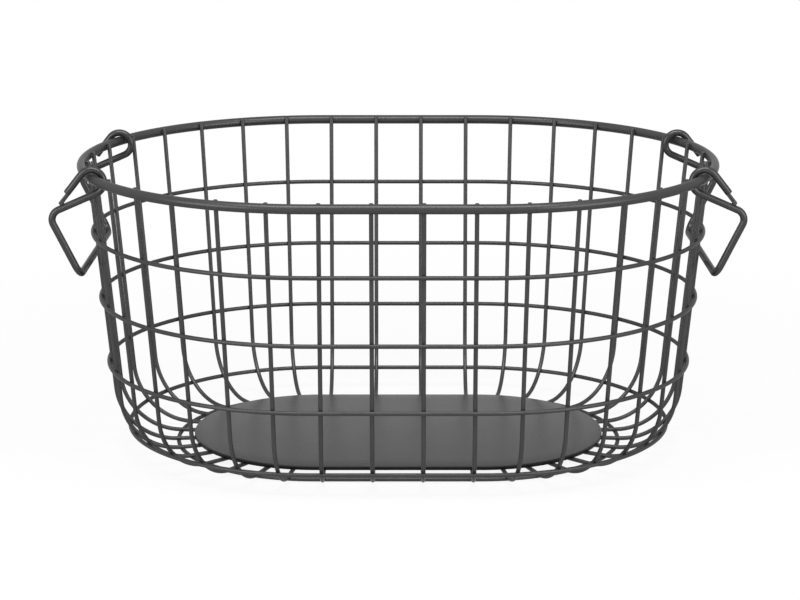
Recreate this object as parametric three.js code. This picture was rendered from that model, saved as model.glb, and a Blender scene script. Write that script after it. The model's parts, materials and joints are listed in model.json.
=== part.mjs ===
// Oval storage basket of welded steel wire, with a sheet base and two loose swing handles.
// Millimetres, +Z up. The origin lies on the floor under the middle of the oval; +X runs along
// its length and the long sides face -Y (front) and +Y (back).
import * as THREE from 'three';

const DEGREE = Math.PI / 180;

// Outline of the oval: two half circles joined by straight sides
const END_CENTRE_DISTANCE = 115; // between the centres of the two end arcs
const RIM_RADIUS = 164.5; // end arcs of the rim, at the middle of its wire
const RIM_HEIGHT = 205; // middle of the rim's wire above the floor

// Wire diameters
const RIM_WIRE = 6.6;
const WALL_WIRE = 3;
const HANDLE_WIRE = 5;
const KEEPER_WIRE = 3;

// Uprights: each one runs down the wall, round the foot bend and in under the plate
const UPRIGHTS_PER_QUARTER = 9;
const WALL_LEAN = 5.35 * DEGREE;
const FOOT_BEND_RADIUS = 42;
const UPRIGHT_TOP_DROP = 0.4; // cut top below the top of the rim

// Wall rings lie outside the uprights, evenly spaced from the rim to the lowest one
const WALL_RING_COUNT = 4;
const LOWEST_RING_HEIGHT = 16;

// Base
const BASE_RING_INSET = 1.5; // from the inner end of the foot bend to the ring that the basket stands on
const PLATE_INSET = 11.5; // from the base ring to the edge of the plate
const PLATE_THICKNESS = 1.2;
const RIB_LAP = 20; // length of each upright's foot under the plate

// Handles: two hooks over the rim, two arms with a knee, and a straight grip
const UPRIGHTS_BETWEEN_HOOKS = 4;
const HANDLE_SLIDE = 5.5; // along the rim, from the middle of the end towards the back
const HOOK_SPREAD = 1.2; // of each hook along the rim, outwards from the middle between two uprights
const HOOK_RADIUS = 8.5;
const HOOK_TIP_LENGTH = 17;
const HOOK_TIP_SLOPE = 52 * DEGREE;
const ARM_LENGTH = 37; // from the hook to the corner of the knee
const ARM_SLOPE = 24 * DEGREE;
const KNEE_RADIUS = 7.5;
const GRIP_DROP = 65.3; // grip below the hinge axis
const GRIP_CORNER_RADIUS = 8;
const GRIP_STANDOFF = 1.8; // between the hanging grip and the upright that it can swing against
const KEEPER_DISTANCE = 25; // from the hook along the arm

// Gap left between pieces that touch
const CLEARANCE = 0.3;

// Facets
const RIM_SIDES = 12;
const WALL_SIDES = 8;
const HANDLE_SIDES = 10;
const END_ARC_STEPS = 32;
const BEND_STEP = 15 * DEGREE;

// Outline and spacing
const endCentre = END_CENTRE_DISTANCE / 2;
const uprightCount = 4 * UPRIGHTS_PER_QUARTER;
const uprightTopRadius = RIM_RADIUS - (RIM_WIRE + WALL_WIRE) / 2 - CLEARANCE;
const uprightSpacing = (2 * END_CENTRE_DISTANCE + 2 * Math.PI * uprightTopRadius) / uprightCount;
const uprightAngle = uprightSpacing / uprightTopRadius; // between neighbours on an end arc

// Heights of the layers of the base
const baseRingHeight = cornerRadius(WALL_WIRE, WALL_SIDES) * Math.cos(Math.PI / WALL_SIDES);
const ribHeight = baseRingHeight + WALL_WIRE + CLEARANCE;
const plateHeight = ribHeight + WALL_WIRE / 2 + CLEARANCE;

// Foot bend of an upright, in the upright's own plane
const bendHeight = ribHeight + FOOT_BEND_RADIUS;
const bendTopHeight = bendHeight - FOOT_BEND_RADIUS * Math.sin(WALL_LEAN);
const bendCentre = uprightTopRadius - (RIM_HEIGHT - bendTopHeight) * Math.tan(WALL_LEAN)
  - FOOT_BEND_RADIUS * Math.cos(WALL_LEAN);
const baseRingRadius = bendCentre - BASE_RING_INSET;
const plateRadius = baseRingRadius - PLATE_INSET;
const ribEndRadius = plateRadius - RIB_LAP;

// Hinge axis of a handle: the middle of its hooks, which hang straight over the rim
const hookAngle = (UPRIGHTS_BETWEEN_HOOKS / 2) * uprightAngle + HOOK_SPREAD / RIM_RADIUS;
const slideAngle = HANDLE_SLIDE / RIM_RADIUS;
const handleSpan = 2 * RIM_RADIUS * Math.sin(hookAngle);
const hingeRadius = RIM_RADIUS * Math.cos(hookAngle);
const hingeHeight = RIM_HEIGHT + (RIM_WIRE + HANDLE_WIRE) / 2 + CLEARANCE - HOOK_RADIUS;

// The grip hangs just off the upright that is nearest to the middle of the handle.
const gripUprightAngle = uprightAngle / 2 - slideAngle;
const gripSeat = ((WALL_WIRE + HANDLE_WIRE) / 2 + GRIP_STANDOFF) / Math.cos(WALL_LEAN);
const gripReach = wallRadius(hingeHeight - GRIP_DROP, 0) * Math.cos(gripUprightAngle) + gripSeat - hingeRadius;

// Corner distance of a flat-sided section that has the area of a round wire
function cornerRadius(diameter, sides) {
  const step = (2 * Math.PI) / sides;
  return (diameter / 2) * Math.sqrt(step / Math.sin(step));
}

// Corners of a wire's section; a flat faces along the first section axis.
function sectionCorners(diameter, sides) {
  const radius = cornerRadius(diameter, sides);
  return Array.from({ length: sides }, (_, index) => {
    const angle = (2 * Math.PI * (index + 0.5)) / sides;
    return new THREE.Vector2(radius * Math.cos(angle), radius * Math.sin(angle));
  });
}

// Radius, at a height, of a line that keeps a distance outside the middle of the uprights
function wallRadius(height, outside) {
  const bend = FOOT_BEND_RADIUS + outside;
  if (height < bendHeight - bend * Math.sin(WALL_LEAN)) {
    return bendCentre + Math.sqrt(bend ** 2 - (bendHeight - height) ** 2);
  }
  return uprightTopRadius - (RIM_HEIGHT - height) * Math.tan(WALL_LEAN) + outside / Math.cos(WALL_LEAN);
}

// Places round the oval: a point on its middle line and the outward angle there
function outlineStations() {
  const stations = [];
  for (const side of [1, -1]) {
    for (let step = 0; step <= END_ARC_STEPS; step += 1) {
      const angle = Math.PI * (step / END_ARC_STEPS - side / 2);
      stations.push({ middle: side * endCentre, angle });
    }
  }
  return stations;
}

// Closed ring of wire along the oval, flat in its own plane
function ringGeometry(radius, diameter, sides) {
  const stations = outlineStations();
  const corners = sectionCorners(diameter, sides);
  const positions = [];
  for (const { middle, angle } of stations) {
    for (const corner of corners) {
      const reach = radius + corner.x;
      positions.push(middle + reach * Math.cos(angle), reach * Math.sin(angle), corner.y);
    }
  }
  const indices = [];
  for (let station = 0; station < stations.length; station += 1) {
    const here = station * sides;
    const next = ((station + 1) % stations.length) * sides;
    for (let corner = 0; corner < sides; corner += 1) {
      const after = (corner + 1) % sides;
      indices.push(here + corner, next + corner, next + after);
      indices.push(here + corner, next + after, here + after);
    }
  }
  const geometry = new THREE.BufferGeometry();
  geometry.setAttribute('position', new THREE.Float32BufferAttribute(positions, 3));
  geometry.setIndex(indices);
  geometry.computeVertexNormals();
  return geometry;
}

// Centreline of a bent wire, given by stations that each hold a point and a direction
class BentWire extends THREE.Curve {
  constructor(stations) {
    super();
    this.stations = stations;
  }

  station(share) {
    return this.stations[Math.round(share * (this.stations.length - 1))];
  }

  getPointAt(share, target = new THREE.Vector3()) {
    return target.copy(this.station(share).point);
  }

  getTangentAt(share, target = new THREE.Vector3()) {
    return target.copy(this.station(share).direction);
  }
}

function wireGeometry(stations, diameter, sides) {
  const section = new THREE.Shape(sectionCorners(diameter, sides));
  const extrudePath = new BentWire(stations);
  return new THREE.ExtrudeGeometry(section, { steps: stations.length - 1, extrudePath });
}

// Stations of an arc in a plane of constant y, from one angle to another
function arcStations(centreX, centreZ, y, radius, start, end) {
  const steps = Math.ceil(Math.abs(end - start) / BEND_STEP);
  const turn = Math.sign(end - start);
  return Array.from({ length: steps + 1 }, (_, step) => {
    const angle = start + ((end - start) * step) / steps;
    return {
      point: new THREE.Vector3(centreX + radius * Math.cos(angle), y, centreZ + radius * Math.sin(angle)),
      direction: new THREE.Vector3(-turn * Math.sin(angle), 0, turn * Math.cos(angle)),
    };
  });
}

// Stations of the round bend that takes the place of a sharp corner
function cornerStations(before, corner, after, radius) {
  const incoming = corner.clone().sub(before).normalize();
  const outgoing = after.clone().sub(corner).normalize();
  const turn = incoming.angleTo(outgoing);
  const setback = radius * Math.tan(turn / 2);
  const axis = incoming.clone().cross(outgoing).normalize();
  const start = corner.clone().addScaledVector(incoming, -setback);
  const centre = start.clone().addScaledVector(axis.clone().cross(incoming), radius);
  const steps = Math.ceil(turn / BEND_STEP);
  return Array.from({ length: steps + 1 }, (_, step) => {
    const angle = (turn * step) / steps;
    return {
      point: start.clone().sub(centre).applyAxisAngle(axis, angle).add(centre),
      direction: incoming.clone().applyAxisAngle(axis, angle),
    };
  });
}

// One upright in its own plane: +X points out of the basket, the oval's middle line is at X = 0
function uprightGeometry() {
  const topHeight = RIM_HEIGHT + RIM_WIRE / 2 - UPRIGHT_TOP_DROP;
  const bend = arcStations(bendCentre, bendHeight, 0, FOOT_BEND_RADIUS, -WALL_LEAN, -Math.PI / 2);
  const top = { point: new THREE.Vector3(wallRadius(topHeight, 0), 0, topHeight), direction: bend[0].direction };
  const foot = { point: new THREE.Vector3(ribEndRadius, 0, ribHeight), direction: bend.at(-1).direction };
  return wireGeometry([top, ...bend, foot], WALL_WIRE, WALL_SIDES);
}

// Place of an upright: the middle-line point and outward angle, counted round from the front
function uprightPlace(index) {
  const quarterArc = (Math.PI / 2) * uprightTopRadius;
  const fromMiddle = ((index % UPRIGHTS_PER_QUARTER) + 0.5) * uprightSpacing;
  const quarter = Math.floor(index / UPRIGHTS_PER_QUARTER);
  const fromLongSide = quarter % 2 === 0;
  const along = fromLongSide ? fromMiddle : endCentre + quarterArc - fromMiddle;
  const middle = Math.min(along, endCentre);
  const turned = Math.max(along - endCentre, 0) / uprightTopRadius;
  const sideX = quarter === 0 || quarter === 1 ? 1 : -1;
  const sideY = quarter === 0 || quarter === 3 ? -1 : 1;
  const angle = Math.atan2(sideY * Math.cos(turned), sideX * Math.sin(turned));
  return { middle: sideX * middle, angle };
}

// Point on a handle's arm, by its distance from the hook
function armPoint(distance, y) {
  const leave = 1.5 * Math.PI - ARM_SLOPE;
  return new THREE.Vector3(
    HOOK_RADIUS * Math.cos(leave) + distance * Math.cos(ARM_SLOPE),
    y,
    HOOK_RADIUS * Math.sin(leave) - distance * Math.sin(ARM_SLOPE),
  );
}

// Handle wire about its hinge axis: +X points out of the basket, Y runs along the axis
function handleGeometry() {
  const y = -handleSpan / 2;
  const enter = Math.PI / 2 - HOOK_TIP_SLOPE;
  const leave = 1.5 * Math.PI - ARM_SLOPE;
  const hook = arcStations(0, 0, y, HOOK_RADIUS, enter, leave);
  const tip = {
    point: hook[0].point.clone().addScaledVector(hook[0].direction, -HOOK_TIP_LENGTH),
    direction: hook[0].direction,
  };
  const knee = armPoint(ARM_LENGTH, y);
  const grip = new THREE.Vector3(gripReach, y, -GRIP_DROP);
  const farGrip = new THREE.Vector3(gripReach, -y, -GRIP_DROP);
  const half = [
    tip,
    ...hook,
    ...cornerStations(hook.at(-1).point, knee, grip, KNEE_RADIUS),
    ...cornerStations(knee, grip, farGrip, GRIP_CORNER_RADIUS),
  ];
  const otherHalf = half.map(({ point, direction }) => ({
    point: new THREE.Vector3(point.x, -point.y, point.z),
    direction: new THREE.Vector3(-direction.x, direction.y, -direction.z),
  }));
  return wireGeometry([...half, ...otherHalf.reverse()], HANDLE_WIRE, HANDLE_SIDES);
}

// Thin bar across the arms, which keeps the rim from slipping out of the hooks
function keeperGeometry() {
  const rise = (HANDLE_WIRE + KEEPER_WIRE) / 2 + CLEARANCE;
  const halfLength = (handleSpan + HANDLE_WIRE) / 2;
  const direction = new THREE.Vector3(0, 1, 0);
  const stations = [-halfLength, halfLength].map((y) => {
    const point = armPoint(KEEPER_DISTANCE, y);
    point.x += rise * Math.sin(ARM_SLOPE);
    point.z += rise * Math.cos(ARM_SLOPE);
    return { point, direction };
  });
  return wireGeometry(stations, KEEPER_WIRE, WALL_SIDES);
}

// Sheet that closes the base, lying on the feet of the uprights
function plateGeometry() {
  const shape = new THREE.Shape();
  shape.absarc(endCentre, 0, plateRadius, -Math.PI / 2, Math.PI / 2);
  shape.absarc(-endCentre, 0, plateRadius, Math.PI / 2, 1.5 * Math.PI);
  const settings = { depth: PLATE_THICKNESS, bevelEnabled: false, curveSegments: END_ARC_STEPS };
  return new THREE.ExtrudeGeometry(shape, settings);
}

// Dark satin powder coat
function wireCoat() {
  return new THREE.MeshStandardMaterial({ color: 0x474748, roughness: 0.5, metalness: 0.2 });
}

function plateCoat() {
  return new THREE.MeshStandardMaterial({ color: 0x515152, roughness: 0.55, metalness: 0.2 });
}

function addPiece(parent, name, geometry, material) {
  const mesh = new THREE.Mesh(geometry, material);
  mesh.name = name;
  parent.add(mesh);
  return mesh;
}

const basket = new THREE.Group();

// Rim, wall rings and the ring that the basket stands on
const rim = addPiece(basket, 'rim_ring', ringGeometry(RIM_RADIUS, RIM_WIRE, RIM_SIDES), wireCoat());
rim.position.z = RIM_HEIGHT;
const ringPitch = (RIM_HEIGHT - LOWEST_RING_HEIGHT) / WALL_RING_COUNT;
for (let index = 1; index <= WALL_RING_COUNT; index += 1) {
  const height = RIM_HEIGHT - index * ringPitch;
  const radius = wallRadius(height, WALL_WIRE + CLEARANCE);
  const ring = addPiece(basket, `wall_ring_${index}`, ringGeometry(radius, WALL_WIRE, WALL_SIDES), wireCoat());
  ring.position.z = height;
}
const baseRing = addPiece(basket, 'base_ring', ringGeometry(baseRingRadius, WALL_WIRE, WALL_SIDES), wireCoat());
baseRing.position.z = baseRingHeight;

// Base plate
const plate = addPiece(basket, 'base_plate', plateGeometry(), plateCoat());
plate.position.z = plateHeight;

// Uprights, numbered round from the middle of the front
const upright = uprightGeometry();
for (let index = 0; index < uprightCount; index += 1) {
  const { middle, angle } = uprightPlace(index);
  const name = `upright_${String(index + 1).padStart(2, '0')}`;
  const mesh = addPiece(basket, name, upright, wireCoat());
  mesh.position.x = middle;
  mesh.rotation.z = angle;
}

// Handles, hung on the rim at both ends
const handle = handleGeometry();
const keeper = keeperGeometry();
for (const [side, name] of [[-1, 'left'], [1, 'right']]) {
  const hinge = new THREE.Group();
  hinge.position.x = side * (endCentre + hingeRadius * Math.cos(slideAngle));
  hinge.position.y = hingeRadius * Math.sin(slideAngle);
  hinge.position.z = hingeHeight;
  hinge.rotation.z = side > 0 ? slideAngle : Math.PI - slideAngle;
  addPiece(hinge, `${name}_handle`, handle, wireCoat());
  addPiece(hinge, `${name}_keeper_bar`, keeper, wireCoat());
  basket.add(hinge);
}

export default basket;
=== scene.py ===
"""Looks of an oval storage basket of welded steel wire with two swing handles.

Every flat-sided wire of the frame is remade as a smooth round one, bent step by step along the same
line. The welds that hold the wires together are added, and all of it gets a dark satin powder coat.
Lengths are in metres and angles in radians.
"""

import json
import logging
import math
from dataclasses import dataclass, field, replace
from enum import Enum
from typing import ClassVar, Iterator, Sequence, Union

import bmesh
import bpy
from bmesh.types import BMEdge, BMesh, BMVert
from mathutils import Matrix, Quaternion, Vector


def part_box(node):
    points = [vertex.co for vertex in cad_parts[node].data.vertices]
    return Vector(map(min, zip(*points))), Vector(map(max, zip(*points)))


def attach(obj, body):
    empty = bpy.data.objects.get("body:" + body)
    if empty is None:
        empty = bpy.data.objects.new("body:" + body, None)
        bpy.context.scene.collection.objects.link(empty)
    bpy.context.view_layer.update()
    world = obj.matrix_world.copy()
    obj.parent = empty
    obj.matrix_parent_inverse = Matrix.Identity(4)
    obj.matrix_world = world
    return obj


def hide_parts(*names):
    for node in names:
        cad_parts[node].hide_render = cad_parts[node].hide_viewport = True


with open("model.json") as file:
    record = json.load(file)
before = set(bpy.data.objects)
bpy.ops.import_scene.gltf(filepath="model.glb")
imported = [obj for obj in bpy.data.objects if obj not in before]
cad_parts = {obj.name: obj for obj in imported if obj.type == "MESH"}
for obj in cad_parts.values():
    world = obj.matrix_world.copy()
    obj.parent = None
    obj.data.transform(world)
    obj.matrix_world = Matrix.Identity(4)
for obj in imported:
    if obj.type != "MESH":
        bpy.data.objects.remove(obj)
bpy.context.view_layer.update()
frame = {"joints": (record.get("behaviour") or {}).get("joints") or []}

log = logging.getLogger("basket")

UP = Vector((0.0, 0.0, 1.0))
SHEET_NAME = "base_sheet"
MERGE_DISTANCE = 1e-6

# Clearance that the frame leaves between wires that touch
FRAME_CLEARANCE = 0.0003
# Welding presses the uprights outwards, the feet down, the wall rings inwards, the base ring up
# and the keeper bars towards the arms
UPRIGHT_PRESS = 0.0004
FOOT_PRESS = 0.0009
RING_PRESS = 0.0004
BASE_PRESS = 0.0006
KEEPER_PRESS = 0.0005


class Body(Enum):
    """Bodies of the frame that pieces ride on."""

    BASKET = "basket"
    LEFT = "left_handle"
    RIGHT = "right_handle"


class Slot(Enum):
    """Material slots of the record."""

    WIRE = "wire_coat"
    PLATE = "plate_coat"


class Coat(Enum):
    """Coats of the pieces, by the name of their material."""

    RIM = "graphite_rim_coat"
    HANDLE = "graphite_handle_coat"
    WIRE = "graphite_wire_coat"
    WELD = "graphite_weld_coat"
    SHEET = "graphite_sheet_coat"


class Layer(Enum):
    """Vertex attributes that a finish reads."""

    CUT = "cut_end"
    # Painted shade on the sheet's edge, growing from the top down
    EDGE = "sheet_edge"


@dataclass(frozen=True)
class WireGauge:
    """A wire size.

    Attributes:
        diameter: Diameter of the wire.
        around: Faces round the wire.
    """

    diameter: float
    around: int

    @property
    def radius(self) -> float:
        """Radius of the wire."""
        return self.diameter / 2


RIM_GAUGE = WireGauge(diameter=0.0066, around=40)
THIN_GAUGE = WireGauge(diameter=0.003, around=24)
HANDLE_GAUGE = WireGauge(diameter=0.005, around=32)


def ring_edges(vertices: Sequence[BMVert]) -> list[BMEdge]:
    """Finds the edges that run between the given vertices.

    Args:
        vertices: The vertices of one section.

    Returns:
        The edges of the section.
    """
    chosen = set(vertices)
    found = dict.fromkeys(edge for vertex in vertices for edge in vertex.link_edges)
    return [edge for edge in found if chosen.issuperset(edge.verts)]


def add_section(mesh: BMesh, middle: Vector, heading: Vector, radius: float, around: int) -> list[BMEdge]:
    """Adds an open round section.

    Args:
        mesh: Mesh that it is added to.
        middle: Its middle.
        heading: Direction that it is square to.
        radius: Its radius.
        around: Number of its edges.

    Returns:
        Its edges.
    """
    place = Matrix.Translation(middle) @ heading.to_track_quat("Z", "Y").to_matrix().to_4x4()
    made = bmesh.ops.create_circle(mesh, segments=around, radius=radius, matrix=place)
    return ring_edges(made["verts"])


def extrude(mesh: BMesh, edges: Sequence[BMEdge], step: Vector) -> list[BMVert]:
    """Extrudes a section.

    Args:
        mesh: Mesh of the section.
        edges: Edges of the section.
        step: How far it is extruded.

    Returns:
        The vertices of the new section.
    """
    made = bmesh.ops.extrude_edge_only(mesh, edges=edges)
    moved = [item for item in made["geom"] if isinstance(item, BMVert)]
    bmesh.ops.translate(mesh, verts=moved, vec=step)
    return moved


def soften(mesh: BMesh, edges: Sequence[BMEdge], rounding: float) -> None:
    """Rounds edges.

    Args:
        mesh: Mesh of the edges.
        edges: The edges.
        rounding: Radius of the rounding.
    """
    bmesh.ops.bevel(
        mesh,
        geom=edges,
        offset=rounding,
        offset_type="OFFSET",
        segments=4,
        profile=0.5,
        affect="EDGES",
        material=-1,
        clamp_overlap=True,
    )


def finished(mesh: BMesh) -> BMesh:
    """Points the faces of a mesh outwards and shades its four-sided ones smoothly.

    Args:
        mesh: The mesh.

    Returns:
        The same mesh.
    """
    bmesh.ops.recalc_face_normals(mesh, faces=mesh.faces[:])
    for face in mesh.faces:
        face.smooth = len(face.verts) == 4
    return mesh


def new_object(name: str, mesh: BMesh) -> bpy.types.Object:
    """Makes an object of a mesh.

    Args:
        name: Name of the object.
        mesh: Its mesh, which is used up.

    Returns:
        The object.
    """
    data = bpy.data.meshes.new(name)
    mesh.to_mesh(data)
    mesh.free()
    made = bpy.data.objects.new(name, data)
    bpy.context.scene.collection.objects.link(made)
    return made


class WireForm:
    """A length of round wire that is bent step by step, as a wire-forming machine does.

    Attributes:
        point: Middle of the wire's leading end.
        heading: Direction in which the wire grows.
    """

    # Largest turn and largest length of a face along a bend
    BEND_STEP: ClassVar[float] = math.radians(4.0)
    ARC_STEP: ClassVar[float] = 0.0055

    def __init__(self, gauge: WireGauge, start: Vector, heading: Vector) -> None:
        """Starts a wire with one open round section.

        Args:
            gauge: Wire size.
            start: Middle of the first section.
            heading: Direction in which the wire sets off.
        """
        self.gauge = gauge
        self.point = start.copy()
        self.heading = heading.normalized()
        self.mesh = bmesh.new()
        self.first = add_section(self.mesh, start, self.heading, gauge.radius, gauge.around)
        self.last = self.first

    def straight(self, length: float) -> None:
        """Adds a straight stretch of a length."""
        self.last = ring_edges(extrude(self.mesh, self.last, self.heading * length))
        self.point = self.point + self.heading * length

    def bend(self, angle: float, radius: float, towards: Vector) -> None:
        """Adds a round bend.

        Args:
            angle: Angle that the wire turns through.
            radius: Radius of the bend at the middle of the wire.
            towards: Direction, square to the heading, in which the wire turns.
        """
        axis = self.heading.cross(towards).normalized()
        centre = self.point + towards.normalized() * radius
        steps = max(math.ceil(angle / self.BEND_STEP), math.ceil(angle * radius / self.ARC_STEP))
        vertices = dict.fromkeys(vertex for edge in self.last for vertex in edge.verts)
        made = bmesh.ops.spin(
            self.mesh,
            geom=[*vertices, *self.last],
            cent=centre,
            axis=axis,
            angle=angle,
            steps=steps,
            use_merge=False,
            use_duplicate=False,
        )
        self.last = [item for item in made["geom_last"] if isinstance(item, BMEdge)]
        turn = Quaternion(axis, angle)
        self.point = centre + turn @ (self.point - centre)
        self.heading = turn @ self.heading

    def corner(self, corner: Vector, after: Vector, radius: float) -> None:
        """Runs to a corner and rounds it towards the next point.

        Args:
            corner: Where the straight middle lines would meet.
            after: A point on the middle line behind the corner.
            radius: Radius of the bend.
        """
        leave = (after - corner).normalized()
        turn = self.heading.angle(leave)
        self.straight((corner - self.point).length - radius * math.tan(turn / 2))
        self.bend(turn, radius, leave - self.heading * self.heading.dot(leave))

    def join(self) -> BMesh:
        """Welds the last section to the first one and returns the closed ring."""
        bmesh.ops.remove_doubles(self.mesh, verts=self.mesh.verts[:], dist=MERGE_DISTANCE)
        return finished(self.mesh)

    def cut(self, rounding: float) -> BMesh:
        """Closes both ends as cut ends with softened edges.

        Args:
            rounding: Radius that the coat leaves on the edge of the cut.

        Returns:
            The closed mesh, with its cut ends marked in a vertex layer.
        """
        ends = [*self.first, *self.last]
        bmesh.ops.edgeloop_fill(self.mesh, edges=ends)
        soften(self.mesh, ends, rounding)
        mark = self.mesh.verts.layers.float.new(Layer.CUT.value)
        for face in self.mesh.faces:
            if len(face.verts) == self.gauge.around:
                for vertex in face.verts:
                    vertex[mark] = 1.0
        return finished(self.mesh)


@dataclass(frozen=True)
class Oval:
    """The middle line of a ring: two half circles joined by straight sides.

    Attributes:
        half_straight: Half the length of a straight side.
        radius: Radius of the half circles.
        height: Height above the floor.
    """

    half_straight: float
    radius: float
    height: float

    @classmethod
    def of_ring(cls, node: str) -> "Oval":
        """Reads the middle line of a ring from the frame, where its wire is as high as it is wide.

        Args:
            node: Name of the ring's node.

        Returns:
            The ring's middle line.
        """
        low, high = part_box(node)
        half_length, half_width, half_wire = (high - low) / 2
        return cls(half_length - half_width, half_width - half_wire, (low.z + high.z) / 2)

    def moved(self, outwards: float, upwards: float) -> "Oval":
        """Gives a like oval that lies a little further out or up."""
        return Oval(self.half_straight, self.radius + outwards, self.height + upwards)

    def ring(self, gauge: WireGauge) -> BMesh:
        """Bends a closed ring of wire along the oval.

        Args:
            gauge: Wire size of the ring.

        Returns:
            The ring's mesh.
        """
        start = Vector((-self.half_straight, -self.radius, self.height))
        form = WireForm(gauge, start, Vector((1.0, 0.0, 0.0)))
        for towards in (Vector((0.0, 1.0, 0.0)), Vector((0.0, -1.0, 0.0))):
            form.straight(2 * self.half_straight)
            form.bend(math.pi, self.radius, towards)
        return form.join()


@dataclass(frozen=True)
class UprightPlace:
    """Where an upright stands.

    Attributes:
        middle: Place of the nearest point on the oval's middle line, along X.
        outward: Level direction from there out of the basket.
    """

    middle: float
    outward: Vector

    def point(self, reach: float, height: float) -> Vector:
        """Gives the point at a distance from the middle line and a height."""
        return Vector((self.middle, 0.0, height)) + self.outward * reach


@dataclass(frozen=True)
class WeldSpot:
    """One weld between two wires.

    Attributes:
        centre: Middle of the joint.
        normal: Direction from one wire to the other.
        reach: Length of the fused metal to each side of the middle.
        waist: Radius of the fused metal at the middle.
    """

    centre: Vector
    normal: Vector
    reach: float
    waist: float

    AROUND: ClassVar[int] = 12
    # Share of the reach and of the waist at each section
    PROFILE: ClassVar[tuple[tuple[float, float], ...]] = (
        (-1.0, 1.14),
        (-0.36, 1.0),
        (0.36, 1.0),
        (1.0, 1.14),
    )

    def add_to(self, mesh: BMesh) -> None:
        """Adds the weld to a mesh as a closed neck of fused metal, section by section.

        Args:
            mesh: The mesh.
        """
        share, width = self.PROFILE[0]
        middle = self.centre + self.normal * self.reach * share
        first = last = add_section(mesh, middle, self.normal, self.waist * width, self.AROUND)
        for next_share, next_width in self.PROFILE[1:]:
            step = self.normal * self.reach * (next_share - share)
            ratio = next_width / width
            moved = extrude(mesh, last, step)
            middle = middle + step
            bmesh.ops.scale(mesh, verts=moved, vec=(ratio, ratio, ratio), space=Matrix.Translation(-middle))
            last = ring_edges(moved)
            share, width = next_share, next_width
        bmesh.ops.edgeloop_fill(mesh, edges=[*first, *last])


Colour = tuple[float, float, float, float]
Input = Union["Value", float, Sequence[float]]


class Value:
    """A socket of a shader graph that takes part in Python arithmetic."""

    def __init__(self, graph: "ShaderGraph", socket: bpy.types.NodeSocket) -> None:
        """Wraps an output socket of a graph."""
        self.graph = graph
        self.socket = socket

    def _math(self, operation: str, first: Input, second: Input) -> "Value":
        """Adds one Math node."""
        return self.graph.node("ShaderNodeMath", {"operation": operation}, {0: first, 1: second})

    def __add__(self, other: Input) -> "Value":
        """Adds."""
        return self._math("ADD", self, other)

    def __radd__(self, other: Input) -> "Value":
        """Adds, from the right."""
        return self._math("ADD", other, self)

    def __sub__(self, other: Input) -> "Value":
        """Subtracts."""
        return self._math("SUBTRACT", self, other)

    def __rsub__(self, other: Input) -> "Value":
        """Subtracts, from the right."""
        return self._math("SUBTRACT", other, self)

    def __mul__(self, other: Input) -> "Value":
        """Multiplies."""
        return self._math("MULTIPLY", self, other)

    def __rmul__(self, other: Input) -> "Value":
        """Multiplies, from the right."""
        return self._math("MULTIPLY", other, self)

    def or_more(self, other: Input) -> "Value":
        """Gives the larger of two values."""
        return self._math("MAXIMUM", self, other)

    def or_less(self, other: Input) -> "Value":
        """Gives the smaller of two values."""
        return self._math("MINIMUM", self, other)

    def ramp(self, none: float, full: float) -> "Value":
        """Goes smoothly from 0, where the value is none, to 1, where it is full."""
        sockets = {"Value": self, "From Min": none, "From Max": full}
        return self.graph.node("ShaderNodeMapRange", {"interpolation_type": "SMOOTHSTEP"}, sockets)


class ShaderGraph:
    """The node tree of a material or a world."""

    NOISE_ROUGHNESS: ClassVar[float] = 0.55
    # Places of a Mix node's sockets for the share and two colours, and for the mixed colour
    MIX_INPUTS: ClassVar[tuple[int, int, int]] = (0, 6, 7)
    MIX_RESULT: ClassVar[int] = 2

    def __init__(self, tree: bpy.types.NodeTree) -> None:
        """Empties the tree."""
        self.tree = tree
        tree.nodes.clear()

    def node(
        self,
        kind: str,
        settings: dict[str, str | bool],
        sockets: dict[str | int, Input],
        output: str | int = 0,
    ) -> Value:
        """Adds a node.

        Args:
            kind: Type name of the node.
            settings: Properties of the node, which are set first.
            sockets: Values or links of its input sockets, by name or place.
            output: Output socket that is wanted, by name or place.

        Returns:
            The wanted output.
        """
        made = self.tree.nodes.new(kind)
        for name, value in settings.items():
            setattr(made, name, value)
        for key, value in sockets.items():
            if isinstance(value, Value):
                self.tree.links.new(value.socket, made.inputs[key])
            else:
                made.inputs[key].default_value = value
        return Value(self, made.outputs[output])

    def noise(self, place: Value, scale: float, detail: float) -> Value:
        """Gives a noise from 0 to 1 with so many spots per metre and levels of finer spots."""
        sockets = {"Vector": place, "Scale": scale, "Detail": detail, "Roughness": self.NOISE_ROUGHNESS}
        return self.node("ShaderNodeTexNoise", {"noise_dimensions": "3D"}, sockets, "Fac")

    def stretched(self, place: Value, turn: float, scale: Sequence[float]) -> Value:
        """Turns coordinates about the vertical and gives each axis its spots per metre."""
        sockets = {"Vector": place, "Rotation": (0.0, 0.0, turn), "Scale": scale}
        return self.node("ShaderNodeMapping", {}, sockets)

    def distance(self, place: Value, point: Vector) -> Value:
        """Gives the distance of a place from a point."""
        settings = {"operation": "DISTANCE"}
        return self.node("ShaderNodeVectorMath", settings, {0: place, 1: point}, "Value")

    def layer(self, layer: Layer) -> Value:
        """Reads a vertex attribute, which is 0 on pieces that lack it."""
        return self.node("ShaderNodeAttribute", {"attribute_name": layer.value}, {}, "Fac")

    def blend(self, share: Value, first: Colour, second: Colour) -> Value:
        """Mixes two colours, of which a share of 0 gives the first."""
        sockets = dict(zip(self.MIX_INPUTS, (share, first, second)))
        return self.node("ShaderNodeMix", {"data_type": "RGBA"}, sockets, self.MIX_RESULT)

    def finish(self, kind: str, surface: Value) -> None:
        """Links the finished surface to an output node of a type."""
        end = self.tree.nodes.new(kind)
        self.tree.links.new(surface.socket, end.inputs["Surface"])


def grey(level: float) -> Colour:
    """Gives a neutral colour of a linear brightness."""
    return (level, level, level, 1.0)


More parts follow.
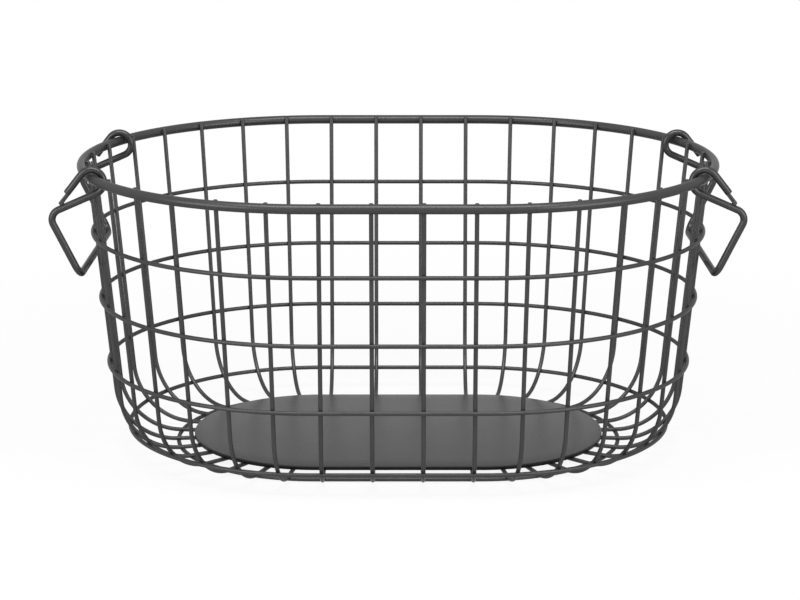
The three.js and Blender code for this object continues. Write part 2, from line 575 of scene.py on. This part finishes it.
@dataclass(frozen=True)
class Effect:
    """What a pattern adds to the look of a coat where it is full.

    Attributes:
        tone: Added to the tone.
        roughness: Added to the roughness.
        height: Added to the height of the relief.
    """

    tone: float = 0.0
    roughness: float = 0.0
    height: float = 0.0


@dataclass(frozen=True)
class Look:
    """What varies over a coated surface.

    Attributes:
        tone: Share of the coat's full brightness.
        roughness: Roughness of the coat.
        height: Height of its fine relief, as a share of the relief's depth.
    """

    tone: Value | float
    roughness: Value | float
    height: Value | float

    def plus(self, pattern: Value, effect: Effect) -> "Look":
        """Adds a pattern.

        Args:
            pattern: Where the pattern is, from 0 to 1.
            effect: What it adds.

        Returns:
            The look with the pattern.
        """
        return Look(
            self.tone + effect.tone * pattern if effect.tone else self.tone,
            self.roughness + effect.roughness * pattern if effect.roughness else self.roughness,
            self.height + effect.height * pattern if effect.height else self.height,
        )


@dataclass(frozen=True)
class PowderCoat:
    """A satin powder coat on steel, with faint clouds, orange peel and fine grain.

    Attributes:
        coat: Which coat it is.
        slot: Material slot of the record; not used.
        brightness: Full linear brightness of the coat.
        roughness: Mean roughness.
        metallic: Share of metal flakes in the coat.
        gloss: Specular level of its binder.
        glancing_gloss: Share of the reflection that is left at a glancing angle.
        relief: Depth of the fine relief.
    """

    coat: Coat
    slot: Slot
    brightness: float
    roughness: float
    metallic: float = 0.5
    gloss: float = 0.3
    glancing_gloss: float = 0.3
    relief: float = 0.000012

    # Spots per metre and effect of each pattern
    CLOUD_SCALE: ClassVar[float] = 24.0
    CLOUD: ClassVar[Effect] = Effect(tone=0.3, roughness=0.1)
    PEEL_SCALE: ClassVar[float] = 900.0
    PEEL: ClassVar[Effect] = Effect(tone=0.14, height=1.0)
    GRAIN_SCALE: ClassVar[float] = 3600.0
    GRAIN: ClassVar[Effect] = Effect(tone=0.12, roughness=0.06, height=0.3)
    # Tone before the patterns
    PLAIN_TONE: ClassVar[float] = 0.54
    BUMP_STRENGTH: ClassVar[float] = 0.6

    def look(self, graph: ShaderGraph, place: Value) -> Look:
        """Gives the look of the coat where nothing has touched it.

        Args:
            graph: Graph that the nodes are added to.
            place: Coordinates on the object.

        Returns:
            The look.
        """
        smoothest = self.roughness - (self.CLOUD.roughness + self.GRAIN.roughness) / 2
        look = Look(self.PLAIN_TONE, smoothest, 0.0)
        look = look.plus(graph.noise(place, self.CLOUD_SCALE, detail=3.0), self.CLOUD)
        look = look.plus(graph.noise(place, self.PEEL_SCALE, detail=2.0), self.PEEL)
        return look.plus(graph.noise(place, self.GRAIN_SCALE, detail=1.0), self.GRAIN)

    def material(self) -> bpy.types.Material:
        """Gives the coat's material, and mixes it the first time.

        Returns:
            The material.
        """
        known = bpy.data.materials.get(self.coat.value)
        if known:
            return known
        made = bpy.data.materials.new(self.coat.value)
        made.use_nodes = True
        graph = ShaderGraph(made.node_tree)
        look = self.look(graph, graph.node("ShaderNodeTexCoord", {}, {}, "Object"))
        relief = {"Strength": self.BUMP_STRENGTH, "Distance": self.relief, "Height": look.height}
        shader = {
            "Base Color": graph.blend(look.tone, grey(0.0), grey(self.brightness)),
            "Roughness": look.roughness,
            "Metallic": self.metallic,
            "Specular IOR Level": self.gloss,
            "Specular Tint": grey(self.glancing_gloss),
            "Normal": graph.node("ShaderNodeBump", {}, relief),
        }
        graph.finish("ShaderNodeOutputMaterial", graph.node("ShaderNodeBsdfPrincipled", {}, shader))
        return made


@dataclass(frozen=True)
class WireCoat(PowderCoat):
    """The coat on drawn wire, which is a little lighter and rougher on cut ends."""

    CUT: ClassVar[Effect] = Effect(tone=0.12, roughness=0.1)

    def look(self, graph: ShaderGraph, place: Value) -> Look:
        """Adds the cut ends to the plain coat."""
        return super().look(graph, place).plus(graph.layer(Layer.CUT), self.CUT)


@dataclass(frozen=True)
class RubbedCoat(WireCoat):
    """The coat on wires that rub on each other, smoothed and lighter where they bear.

    Attributes:
        bearings: Points where the wires bear on each other.
    """

    bearings: tuple[Vector, ...] = ()

    RUB: ClassVar[Effect] = Effect(tone=0.14, roughness=-0.07)
    RUB_SMOOTHING: ClassVar[float] = 0.7
    # Distances from a bearing at which the rubbing ends and is full
    RUB_RAMP: ClassVar[tuple[float, float]] = (0.008, 0.003)
    PATCH_SCALE: ClassVar[float] = 420.0
    PATCH_RAMP: ClassVar[tuple[float, float]] = (0.3, 0.62)

    def look(self, graph: ShaderGraph, place: Value) -> Look:
        """Adds the patchy rubbed spots to the coat.

        Args:
            graph: Graph that the nodes are added to.
            place: Coordinates on the object.

        Returns:
            The look.
        """
        plain = super().look(graph, place)
        nearest = graph.distance(place, self.bearings[0])
        for bearing in self.bearings[1:]:
            nearest = nearest.or_less(graph.distance(place, bearing))
        patch = graph.noise(place, self.PATCH_SCALE, detail=3.0).ramp(*self.PATCH_RAMP)
        rubbed = nearest.ramp(*self.RUB_RAMP) * patch
        smoothed = replace(plain, height=plain.height * (1.0 - self.RUB_SMOOTHING * rubbed))
        return smoothed.plus(rubbed, self.RUB)


@dataclass(frozen=True)
class WeldCoat(PowderCoat):
    """The coat on fused metal, which is thick, uneven and pitted, with painted shade darkening the pits."""

    LUMP_SCALE: ClassVar[float] = 1300.0
    LUMP: ClassVar[Effect] = Effect(roughness=0.12, height=1.6)
    # Pits dip the relief, and painted shade darkens their tone
    PIT_AND_SHADE_RAMP: ClassVar[tuple[float, float]] = (0.42, 0.3)
    PIT_AND_SHADE: ClassVar[Effect] = Effect(tone=-0.2, height=-1.0)

    def look(self, graph: ShaderGraph, place: Value) -> Look:
        """Adds lumps, and pits darkened with painted shade, to the plain coat."""
        lump = graph.noise(place, self.LUMP_SCALE, detail=3.0)
        return super().look(graph, place).plus(lump, self.LUMP).plus(lump.ramp(*self.PIT_AND_SHADE_RAMP), self.PIT_AND_SHADE)


@dataclass(frozen=True)
class SheetCoat(PowderCoat):
    """The coat on rolled sheet, with faint rolling streaks, fine scuffs and painted shade darkening its
    thin edge towards the bottom.
    """

    STREAK_SCALE: ClassVar[tuple[float, float, float]] = (9.0, 420.0, 420.0)
    STREAK: ClassVar[Effect] = Effect(tone=0.06, roughness=0.04, height=0.15)
    SCUFF_SCALE: ClassVar[tuple[float, float, float]] = (26.0, 1500.0, 1500.0)
    SCUFF_TURNS: ClassVar[tuple[float, float]] = (math.radians(24), math.radians(-57))
    SCUFF_RAMP: ClassVar[tuple[float, float]] = (0.68, 0.76)
    SCUFF: ClassVar[Effect] = Effect(tone=0.07, roughness=-0.04, height=-0.3)
    # The edge is rougher, and painted shade darkens its tone by up to this share at the bottom
    EDGE: ClassVar[Effect] = Effect(roughness=0.12)
    PAINTED_EDGE_SHADE: ClassVar[float] = 0.9

    def look(self, graph: ShaderGraph, place: Value) -> Look:
        """Adds streaks, scuffs and painted shade on the edge to the plain coat.

        Args:
            graph: Graph that the nodes are added to.
            place: Coordinates on the object.

        Returns:
            The look.
        """
        plain = super().look(graph, place)
        streak = graph.noise(graph.stretched(place, 0.0, self.STREAK_SCALE), 1.0, detail=2.0)
        lines = [
            graph.noise(graph.stretched(place, turn, self.SCUFF_SCALE), 1.0, detail=1.0)
            for turn in self.SCUFF_TURNS
        ]
        first, second = (line.ramp(*self.SCUFF_RAMP) for line in lines)
        marked = plain.plus(streak - 0.5, self.STREAK).plus(first.or_more(second), self.SCUFF)
        # Painted shade: the edge darkens towards its bottom, where the sheet shades it
        edge = graph.layer(Layer.EDGE)
        edge_shaded = replace(marked, tone=marked.tone * (1.0 - self.PAINTED_EDGE_SHADE * edge))
        return edge_shaded.plus(edge, self.EDGE)


def mix_finishes(bearings: tuple[Vector, ...]) -> dict[Coat, PowderCoat]:
    """Mixes the finishes of the basket.

    Args:
        bearings: Points where the hooks bear on the rim.

    Returns:
        The finish for each coat.
    """
    finishes = (
        RubbedCoat(Coat.RIM, Slot.WIRE, brightness=0.08, roughness=0.31, bearings=bearings),
        RubbedCoat(
            Coat.HANDLE, Slot.WIRE, brightness=0.074, roughness=0.25, metallic=0.6, bearings=bearings
        ),
        WireCoat(Coat.WIRE, Slot.WIRE, brightness=0.08, roughness=0.34),
        WeldCoat(Coat.WELD, Slot.WIRE, brightness=0.074, roughness=0.46, relief=0.00006),
        SheetCoat(
            Coat.SHEET, Slot.PLATE, brightness=0.046, roughness=0.32, metallic=0.2, glancing_gloss=0.6
        ),
    )
    return {finish.coat: finish for finish in finishes}


@dataclass
class Assembly:
    """A group of pieces that ride on one body.

    Attributes:
        body: Body that the pieces ride on.
        pieces: The pieces, each with its coat.
    """

    body: Body
    pieces: list[tuple[bpy.types.Object, Coat]] = field(default_factory=list, init=False)

    def build(self) -> None:
        """Builds the pieces."""
        raise NotImplementedError

    def add(self, name: str, coat: Coat, mesh: BMesh, node: str = "") -> None:
        """Makes a piece of a mesh, in its place in the frame.

        Args:
            name: Name of the piece.
            coat: Its coat.
            mesh: Its mesh, which is used up.
            node: Node of the frame that it stands for, if any.
        """
        piece = new_object(name, mesh)
        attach(piece, self.body.value)
        if node:
            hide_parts(node)
        self.pieces.append((piece, coat))
        log.info("%s: %d faces on %s", name, len(piece.data.polygons), self.body.value)

    def add_welds(self, name: str, spots: Sequence[WeldSpot]) -> None:
        """Makes one piece of a row of welds.

        Args:
            name: Name of the piece.
            spots: The welds.
        """
        mesh = bmesh.new()
        for spot in spots:
            spot.add_to(mesh)
        self.add(name, Coat.WELD, finished(mesh))

    def dress(self, finishes: dict[Coat, PowderCoat]) -> None:
        """Gives every piece its finish.

        Args:
            finishes: The finish for each coat.
        """
        for piece, coat in self.pieces:
            piece.data.materials.append(finishes[coat].material())


@dataclass
class Wall(Assembly):
    """The rim, the wall rings and the uprights with their feet.

    Attributes:
        uprights_per_quarter: Uprights in a quarter of the oval.
        lean: Outward lean of the wall.
        foot_bend_radius: Radius of the foot bends at the middle of the wire.
        top_drop: Cut tops of the uprights below the top of the rim.
        rib_lap: Length of each foot under the plate.
        ring_count: Number of wall rings.
        cut_rounding: Softened edge of a cut end.
        weld_reach: Length of a weld to each side of its middle.
        weld_waist: Radius of a weld between an upright and a ring.
        rim_weld_waist: Radius of a weld between an upright and the rim.
    """

    uprights_per_quarter: int = 9
    lean: float = math.radians(5.35)
    foot_bend_radius: float = 0.042
    top_drop: float = 0.0004
    rib_lap: float = 0.020
    ring_count: int = 4
    cut_rounding: float = 0.0005
    weld_reach: float = 0.0009
    weld_waist: float = 0.00115
    rim_weld_waist: float = 0.0014

    def __post_init__(self) -> None:
        """Works out the wall's lines from the frame."""
        self.rim = Oval.of_ring("rim_ring")
        gap = RIM_GAUGE.radius + THIN_GAUGE.radius + FRAME_CLEARANCE
        self.top_reach = self.rim.radius - gap
        low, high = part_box("base_ring")
        self.rib_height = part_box("upright_01")[0].z + (high.z - low.z) / 2
        self.bend_height = self.rib_height + self.foot_bend_radius
        bend_top = self.bend_height - self.foot_bend_radius * math.sin(self.lean)
        taper = (self.rim.height - bend_top) * math.tan(self.lean)
        self.bend_reach = self.top_reach - taper - self.foot_bend_radius * math.cos(self.lean)
        low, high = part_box("base_plate")
        self.foot_reach = (high.y - low.y) / 2 - self.rib_lap
        straight = 4 * self.rim.half_straight
        self.spacing = (straight + math.tau * self.top_reach) / (4 * self.uprights_per_quarter)
        self.turn = self.spacing / self.top_reach
        self.places = list(self._places())

    def reach_at(self, height: float) -> float:
        """Gives the distance of the uprights' straight part from the middle line at a height."""
        return self.top_reach - (self.rim.height - height) * math.tan(self.lean)

    def _places(self) -> Iterator[UprightPlace]:
        """Gives the uprights' places, quarter by quarter.

        Yields:
            One place after the other.
        """
        quarter_arc = math.pi / 2 * self.top_reach
        half_straight = self.rim.half_straight
        for index in range(4 * self.uprights_per_quarter):
            quarter, count = divmod(index, self.uprights_per_quarter)
            from_middle = (count + 0.5) * self.spacing
            from_long_side = quarter % 2 == 0
            along = from_middle if from_long_side else half_straight + quarter_arc - from_middle
            turned = max(along - half_straight, 0.0) / self.top_reach
            side_x = 1 if quarter in (0, 1) else -1
            side_y = -1 if quarter in (0, 3) else 1
            outward = Vector((side_x * math.sin(turned), side_y * math.cos(turned), 0.0))
            yield UprightPlace(side_x * min(along, half_straight), outward)

    def build(self) -> None:
        """Builds the rim, the rings, the uprights and their welds."""
        self.add("rim_rod", Coat.RIM, self.rim.ring(RIM_GAUGE), "rim_ring")
        self.add_welds("rim_welds", [self._rim_weld(place) for place in self.places])
        for number in range(1, self.ring_count + 1):
            node = f"wall_ring_{number}"
            oval = Oval.of_ring(node).moved(-RING_PRESS, 0.0)
            self.add(f"wall_hoop_{number}", Coat.WIRE, oval.ring(THIN_GAUGE), node)
            spots = [self._ring_weld(place, oval) for place in self.places]
            self.add_welds(f"wall_hoop_{number}_welds", spots)
        for number, place in enumerate(self.places, start=1):
            self.add(f"upright_wire_{number:02d}", Coat.WIRE, self._upright(place), f"upright_{number:02d}")

    def _upright(self, place: UprightPlace) -> BMesh:
        """Bends one upright, from the end of its foot to its top.

        Args:
            place: Where it stands.

        Returns:
            Its mesh.
        """
        start = place.point(self.foot_reach, self.rib_height - FOOT_PRESS)
        form = WireForm(THIN_GAUGE, start, place.outward)
        shift = (UPRIGHT_PRESS - FOOT_PRESS) / math.cos(self.lean)
        form.straight(self.bend_reach + shift - self.foot_reach)
        form.bend(math.pi / 2 - self.lean, self.foot_bend_radius + FOOT_PRESS, UP)
        top = self.rim.height + RIM_GAUGE.radius - self.top_drop
        form.straight((top - form.point.z) / math.cos(self.lean))
        return form.cut(self.cut_rounding)

    def _rim_weld(self, place: UprightPlace) -> WeldSpot:
        """Gives the weld between an upright and the rim."""
        centre = place.point(self.rim.radius - RIM_GAUGE.radius, self.rim.height)
        return WeldSpot(centre, place.outward, self.weld_reach, self.rim_weld_waist)

    def _ring_weld(self, place: UprightPlace, oval: Oval) -> WeldSpot:
        """Gives the weld between an upright and a ring outside it.

        Args:
            place: Where the upright stands.
            oval: Middle line of the ring.

        Returns:
            The weld.
        """
        ring = place.point(oval.radius, oval.height)
        on_wall = place.outward * math.cos(self.lean) - UP * math.sin(self.lean)
        on_bend = (ring - place.point(self.bend_reach, self.bend_height)).normalized()
        normal = on_bend if on_bend.z < on_wall.z else on_wall
        inwards = THIN_GAUGE.radius - (UPRIGHT_PRESS + RING_PRESS - FRAME_CLEARANCE) / 2
        return WeldSpot(ring - normal * inwards, normal, self.weld_reach, self.weld_waist)


@dataclass
class Base(Assembly):
    """The ring that the basket stands on, the sheet plate and their welds.

    Attributes:
        wall: The wall, whose feet carry the plate.
        sheet_seat: How far the feet are pressed into the sheet.
        crown: Rise of the sheet from its edge to its middle.
        crown_steps: Rings of faces over which it rises.
        top_rounding: Rounded upper edge of the sheet.
        bottom_rounding: Rounded lower edge of the sheet.
        arc_faces: Faces along half the sheet's outline.
        sheet_weld_reach: Length of a weld under the sheet to each side of its middle.
        sheet_weld_waist: Radius of a weld under the sheet.
    """

    wall: Wall
    sheet_seat: float = 0.0005
    crown: float = 0.0015
    crown_steps: int = 6
    top_rounding: float = 0.0009
    bottom_rounding: float = 0.0003
    arc_faces: int = 96
    sheet_weld_reach: float = 0.0006
    sheet_weld_waist: float = 0.0014

    # How fast the painted shade on the edge grows from the top down
    EDGE_SHADE_GAIN: ClassVar[float] = 1.6

    def build(self) -> None:
        """Builds the base ring, the plate and their welds."""
        wall = self.wall
        oval = Oval.of_ring("base_ring").moved(0.0, BASE_PRESS)
        self.add("base_hoop", Coat.WIRE, oval.ring(THIN_GAUGE), "base_ring")
        foot = wall.rib_height - FOOT_PRESS
        middle = (oval.height + foot) / 2
        spots = [
            WeldSpot(place.point(oval.radius, middle), UP, wall.weld_reach, wall.weld_waist)
            for place in wall.places
        ]
        self.add_welds("base_hoop_welds", spots)
        seat = foot + THIN_GAUGE.radius - self.sheet_seat
        self.add(SHEET_NAME, Coat.SHEET, self._sheet(seat), "base_plate")
        reach = wall.foot_reach + wall.rib_lap / 2
        spots = [
            WeldSpot(place.point(reach, seat), UP, self.sheet_weld_reach, self.sheet_weld_waist)
            for place in wall.places
        ]
        self.add_welds("base_sheet_welds", spots)

    def _sheet(self, seat: float) -> BMesh:
        """Cuts the oval sheet and rounds its edges.

        Args:
            seat: Height of the sheet's underside.

        Returns:
            The sheet's mesh, with the painted shade of its edge marked in a vertex layer.
        """
        low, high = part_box("base_plate")
        radius = (high.y - low.y) / 2
        half_straight = (high.x - low.x) / 2 - radius
        top = high.z
        mesh = bmesh.new()
        half_step = math.pi / (2 * self.arc_faces)
        place = Matrix.Translation((0.0, 0.0, seat)) @ Matrix.Rotation(half_step, 4, "Z")
        made = bmesh.ops.create_circle(
            mesh, cap_ends=True, segments=2 * self.arc_faces, radius=radius, matrix=place
        )
        for side in (-1, 1):
            half = [vertex for vertex in made["verts"] if vertex.co.x * side > 0]
            bmesh.ops.translate(mesh, verts=half, vec=(side * half_straight, 0.0, 0.0))
        lower = ring_edges(mesh.verts[:])
        made = bmesh.ops.extrude_face_region(mesh, geom=mesh.faces[:])
        raised = [item for item in made["geom"] if isinstance(item, BMVert)]
        bmesh.ops.translate(mesh, verts=raised, vec=(0.0, 0.0, top - seat))
        soften(mesh, ring_edges(raised), self.top_rounding)
        soften(mesh, lower, self.bottom_rounding)
        self._raise_crown(mesh, radius - self.top_rounding)
        # Marks the painted shade on the edge, from none at the top to full towards the bottom
        mark = mesh.verts.layers.float.new(Layer.EDGE.value)
        for vertex in mesh.verts:
            vertex[mark] = min(max(top - vertex.co.z, 0.0) / (top - seat) * self.EDGE_SHADE_GAIN, 1.0)
        return finished(mesh)

    def _raise_crown(self, mesh: BMesh, radius: float) -> None:
        """Raises the sheet's middle ring by ring.

        Args:
            mesh: The sheet's mesh.
            radius: Radius of its flat top's ends.
        """
        top = max(mesh.faces, key=lambda face: (len(face.verts), face.calc_center_median().z))
        step = radius / (self.crown_steps + 0.5)
        for ring in range(1, self.crown_steps + 1):
            before, after = (1.0 - step * count / radius for count in (ring - 1, ring))
            rise = self.crown * (before**2 - after**2)
            bmesh.ops.inset_region(
                mesh, faces=[top], thickness=step, depth=0.0, use_boundary=True, use_even_offset=True
            )
            bmesh.ops.translate(mesh, verts=top.verts[:], vec=(0.0, 0.0, rise))


@dataclass
class SwingHandle(Assembly):
    """A loose wire handle with open hooks over the rim, and the keeper bar across its arms.

    Attributes:
        wall: The wall, on whose rim the handle hangs.
        uprights_between_hooks: Gaps between uprights from hook to hook.
        slide: How far the handle has slid along the rim.
        hook_spread: How far each hook lies outside the middle between two uprights, along the rim.
        hook_radius: Radius of the hooks at the middle of the wire.
        tip_length: Straight end of a hook.
        tip_slope: Slope of that end.
        arm_length: From the hook to the corner of the knee.
        arm_slope: Slope of the arms.
        knee_radius: Bend at the knee.
        grip_drop: Grip below the hinge axis.
        grip_standoff: Between the hanging grip and the upright behind it.
        corner_radius: Bend at the ends of the grip.
        keeper_distance: Keeper bar from the hook, along the arm.
        cut_rounding: Softened edge of a cut end.
        weld_reach: Length of a weld to each side of its middle.
        weld_waist: Radius of a weld.
    """

    wall: Wall
    uprights_between_hooks: int = 4
    slide: float = 0.0055
    hook_spread: float = 0.0012
    hook_radius: float = 0.0085
    tip_length: float = 0.017
    tip_slope: float = math.radians(52)
    arm_length: float = 0.037
    arm_slope: float = math.radians(24)
    knee_radius: float = 0.0075
    grip_drop: float = 0.0653
    grip_standoff: float = 0.0018
    corner_radius: float = 0.008
    keeper_distance: float = 0.025
    cut_rounding: float = 0.0007
    weld_reach: float = 0.0015
    weld_waist: float = 0.0017

    def __post_init__(self) -> None:
        """Reads the hinge from the frame and works out the handle's span and reach."""
        joint = next(item for item in frame["joints"] if item["child"] == self.body.value)
        self.hinge = Vector(joint["pos_m"])
        self.out = UP.cross(Vector(joint["axis"])).normalized()
        self.along = UP.cross(self.out)
        rim = self.wall.rim
        hook_angle = self.uprights_between_hooks / 2 * self.wall.turn + self.hook_spread / rim.radius
        self.half_span = rim.radius * math.sin(hook_angle)
        nearest = self.wall.turn / 2 - self.slide / rim.radius
        gap = THIN_GAUGE.radius + HANDLE_GAUGE.radius + self.grip_standoff
        seat = gap / math.cos(self.wall.lean)
        hanging = self.wall.reach_at(self.hinge.z - self.grip_drop) * math.cos(nearest) + seat
        self.end_centre = Vector((math.copysign(rim.half_straight, self.hinge.x), 0.0, self.hinge.z))
        self.grip_reach = hanging - (self.hinge - self.end_centre).length
        self.arm_normal = self.out * math.sin(self.arm_slope) + UP * math.cos(self.arm_slope)

    @property
    def side(self) -> str:
        """The word that the handle's names begin with."""
        return self.body.value.removesuffix("_handle")

    def point(self, out: float, along: float, rise: float) -> Vector:
        """Gives a point by its distances from the middle of the hinge axis."""
        return self.hinge + self.out * out + self.along * along + UP * rise

    def bearings(self) -> list[Vector]:
        """Gives the points where the hooks bear on the rim.

        Returns:
            One point for each hook.
        """
        rim = self.wall.rim
        found = []
        for along in (-self.half_span, self.half_span):
            hook = self.point(0.0, along, 0.0)
            middle = self.end_centre + (hook - self.end_centre).normalized() * rim.radius
            middle.z = rim.height
            found.append(middle + (middle - hook).normalized() * RIM_GAUGE.radius)
        return found

    def _arm_point(self, distance: float, along: float) -> Vector:
        """Gives a point on an arm by its distance from the hook."""
        run = self.out * math.cos(self.arm_slope) - UP * math.sin(self.arm_slope)
        return self.point(0.0, along, 0.0) + run * distance - self.arm_normal * self.hook_radius

    def build(self) -> None:
        """Builds the handle wire, the keeper bar and its two welds."""
        side = self.side
        self.add(f"{side}_handle_wire", Coat.HANDLE, self._wire(), f"{side}_handle")
        self.add(f"{side}_keeper_wire", Coat.WIRE, self._keeper(), f"{side}_keeper_bar")
        spots = []
        for along in (-self.half_span, self.half_span):
            centre = self._arm_point(self.keeper_distance, along) + self.arm_normal * HANDLE_GAUGE.radius
            spots.append(WeldSpot(centre, self.arm_normal, self.weld_reach, self.weld_waist))
        self.add_welds(f"{side}_keeper_welds", spots)

    def _wire(self) -> BMesh:
        """Bends the handle from the tip of one hook to the tip of the other.

        Returns:
            The handle's mesh.
        """
        near, far = -self.half_span, self.half_span
        enter = math.pi / 2 - self.tip_slope
        hook_turn = math.pi + self.tip_slope - self.arm_slope
        entry = self.out * math.cos(enter) + UP * math.sin(enter)
        hook_start = self.point(0.0, near, 0.0) + entry * self.hook_radius
        heading = UP * math.cos(enter) - self.out * math.sin(enter)
        form = WireForm(HANDLE_GAUGE, hook_start - heading * self.tip_length, heading)
        form.straight(self.tip_length)
        form.bend(hook_turn, self.hook_radius, self.point(0.0, near, 0.0) - form.point)
        knee, far_knee = self._arm_point(self.arm_length, near), self._arm_point(self.arm_length, far)
        grip = self.point(self.grip_reach, near, -self.grip_drop)
        far_grip = self.point(self.grip_reach, far, -self.grip_drop)
        arm_root = self._arm_point(0.0, far)
        form.corner(knee, grip, self.knee_radius)
        form.corner(grip, far_grip, self.corner_radius)
        form.corner(far_grip, far_knee, self.corner_radius)
        form.corner(far_knee, arm_root, self.knee_radius)
        form.straight((arm_root - form.point).length)
        form.bend(hook_turn, self.hook_radius, self.point(0.0, far, 0.0) - form.point)
        form.straight(self.tip_length)
        return form.cut(self.cut_rounding)

    def _keeper(self) -> BMesh:
        """Cuts the thin bar that lies across the arms.

        Returns:
            The bar's mesh.
        """
        rise = HANDLE_GAUGE.radius + THIN_GAUGE.radius + FRAME_CLEARANCE - KEEPER_PRESS
        half_length = self.half_span + HANDLE_GAUGE.radius
        start = self._arm_point(self.keeper_distance, -half_length) + self.arm_normal * rise
        form = WireForm(THIN_GAUGE, start, self.along)
        form.straight(2 * half_length)
        return form.cut(self.wall.cut_rounding)


@dataclass(frozen=True)
class Softbox:
    """A large soft lamp.

    Attributes:
        name: Name of the lamp.
        place: Middle of the lamp.
        width: Its width.
        depth: Its other side.
        radiance: Brightness of its surface, where 1 is white.
        screened: Name of a piece that is screened from the lamp, which would glare in it.
    """

    name: str
    place: Vector
    width: float
    depth: float
    radiance: float
    screened: str = ""

    def build(self, target: Vector) -> None:
        """Hangs the lamp.

        Args:
            target: Point that it faces.
        """
        data = bpy.data.lights.new(self.name, "AREA")
        data.shape = "RECTANGLE"
        data.size = self.width
        data.size_y = self.depth
        data.energy = self.radiance * math.pi * self.width * self.depth
        lamp = bpy.data.objects.new(self.name, data)
        lamp.location = self.place
        lamp.rotation_euler = (target - self.place).to_track_quat("-Z", "Y").to_euler()
        bpy.context.scene.collection.objects.link(lamp)
        if self.screened:
            screen = bpy.data.collections.new(f"{self.name}_screen")
            screen.objects.link(bpy.data.objects[self.screened])
            screen.collection_objects[0].light_linking.link_state = "EXCLUDE"
            lamp.light_linking.receiver_collection = screen


@dataclass
class Studio:
    """The floor, the light and the camera.

    Attributes:
        floor_size: Side of the floor.
        floor_tone: Brightness of the floor in its own shading.
        bounce_tone: Brightness of the floor where it throws light back on the basket.
        shadow_share: Share of the floor's own shading, with the shadow, that the eye sees at the basket.
        shadow_reach: Distance from the middle at which that share has faded out.
        shadow_core: Distance up to which it is whole.
        ambient: Brightness of the surroundings as light.
        lamps: One lamp overhead and one at each side of the camera.
        light_target: Point that the lamps face.
        camera_place: Where the camera stands.
        camera_pitch: How far it looks down.
        focal_pixels: Focal length in pixels of the image.
        image_width: Width of the image in pixels.
        axis_column: Pixel column of the optical axis.
        sensor_width: Width of the camera's sensor in millimetres.
    """

    floor_size: float = 14.0
    floor_tone: float = 0.95
    bounce_tone: float = 0.4
    shadow_share: float = 0.1
    shadow_reach: float = 0.75
    shadow_core: float = 0.25
    ambient: float = 0.2
    lamps: tuple[Softbox, ...] = (
        Softbox("overhead_softbox", Vector((0.0, -0.75, 1.85)), width=1.8, depth=0.8, radiance=6.8),
        *(
            Softbox(name, Vector((x, -1.35, 0.55)), width=1.3, depth=1.1, radiance=3.4, screened=SHEET_NAME)
            for name, x in (("left_softbox", -1.5), ("right_softbox", 1.5))
        ),
    )
    light_target: Vector = field(default_factory=lambda: Vector((0.0, 0.0, 0.1)))
    camera_place: Vector = field(default_factory=lambda: Vector((0.00357, -1.7993, 0.5552)))
    camera_pitch: float = math.radians(14.09)
    focal_pixels: float = 2597.6
    image_width: float = 800.0
    axis_column: float = 403.2
    sensor_width: float = 36.0

    def build(self) -> None:
        """Builds the whole studio."""
        self._floor()
        self._world()
        self._camera()
        for lamp in self.lamps:
            lamp.build(self.light_target)
        bpy.context.scene.view_settings.view_transform = "Standard"

    @staticmethod
    def _seen(graph: ShaderGraph) -> Value:
        """Gives 1 for what the eye sees directly, mirrored or through something, and else 0.

        Args:
            graph: Graph that the nodes are added to.

        Returns:
            The share.
        """
        rays = ("Is Camera Ray", "Is Glossy Ray", "Is Transmission Ray")
        camera, glossy, through = (graph.node("ShaderNodeLightPath", {}, {}, ray) for ray in rays)
        return camera.or_more(glossy).or_more(through)

    def _floor(self) -> None:
        """Lays the pale floor, which shows white and keeps a faint shadow."""
        mesh = bmesh.new()
        bmesh.ops.create_grid(mesh, x_segments=2, y_segments=2, size=self.floor_size / 2)
        floor = new_object("floor", mesh)
        made = bpy.data.materials.new("pale_floor")
        made.use_nodes = True
        graph = ShaderGraph(made.node_tree)
        seen = self._seen(graph)
        tone = graph.blend(seen, grey(self.bounce_tone), grey(self.floor_tone))
        lit = graph.node("ShaderNodeBsdfDiffuse", {}, {"Color": tone})
        white = graph.node("ShaderNodeEmission", {}, {"Color": grey(1.0), "Strength": 1.0})
        place = graph.node("ShaderNodeTexCoord", {}, {}, "Object")
        near = graph.distance(place, Vector()).ramp(self.shadow_reach, self.shadow_core)
        share = seen * (1.0 - self.shadow_share * near)
        surface = graph.node("ShaderNodeMixShader", {}, {0: share, 1: lit, 2: white})
        graph.finish("ShaderNodeOutputMaterial", surface)
        floor.data.materials.append(made)

    def _world(self) -> None:
        """Surrounds the scene with white that lights it only softly."""
        world = bpy.data.worlds.new("studio")
        world.use_nodes = True
        bpy.context.scene.world = world
        graph = ShaderGraph(world.node_tree)
        light = graph.node("ShaderNodeBackground", {}, {"Color": grey(1.0), "Strength": self.ambient})
        white = graph.node("ShaderNodeBackground", {}, {"Color": grey(1.0), "Strength": 1.0})
        surface = graph.node("ShaderNodeMixShader", {}, {0: self._seen(graph), 1: light, 2: white})
        graph.finish("ShaderNodeOutputWorld", surface)

    def _camera(self) -> None:
        """Sets up the camera at the photograph's viewing angle."""
        data = bpy.data.cameras.new("camera")
        data.sensor_width = self.sensor_width
        data.lens = self.sensor_width * self.focal_pixels / self.image_width
        data.shift_x = (self.image_width / 2 - self.axis_column) / self.image_width
        camera = bpy.data.objects.new("camera", data)
        camera.location = self.camera_place
        camera.rotation_euler = (math.pi / 2 - self.camera_pitch, 0.0, 0.0)
        bpy.context.scene.collection.objects.link(camera)
        bpy.context.scene.camera = camera


def main() -> None:
    """Builds the basket and its studio."""
    logging.basicConfig(level=logging.INFO, format="%(name)s: %(message)s")
    wall = Wall(Body.BASKET)
    base = Base(Body.BASKET, wall)
    left, right = SwingHandle(Body.LEFT, wall), SwingHandle(Body.RIGHT, wall)
    assemblies = (wall, base, left, right)
    for assembly in assemblies:
        assembly.build()
    finishes = mix_finishes((*left.bearings(), *right.bearings()))
    for assembly in assemblies:
        assembly.dress(finishes)
    Studio().build()


if __name__ == "__main__":
    main()
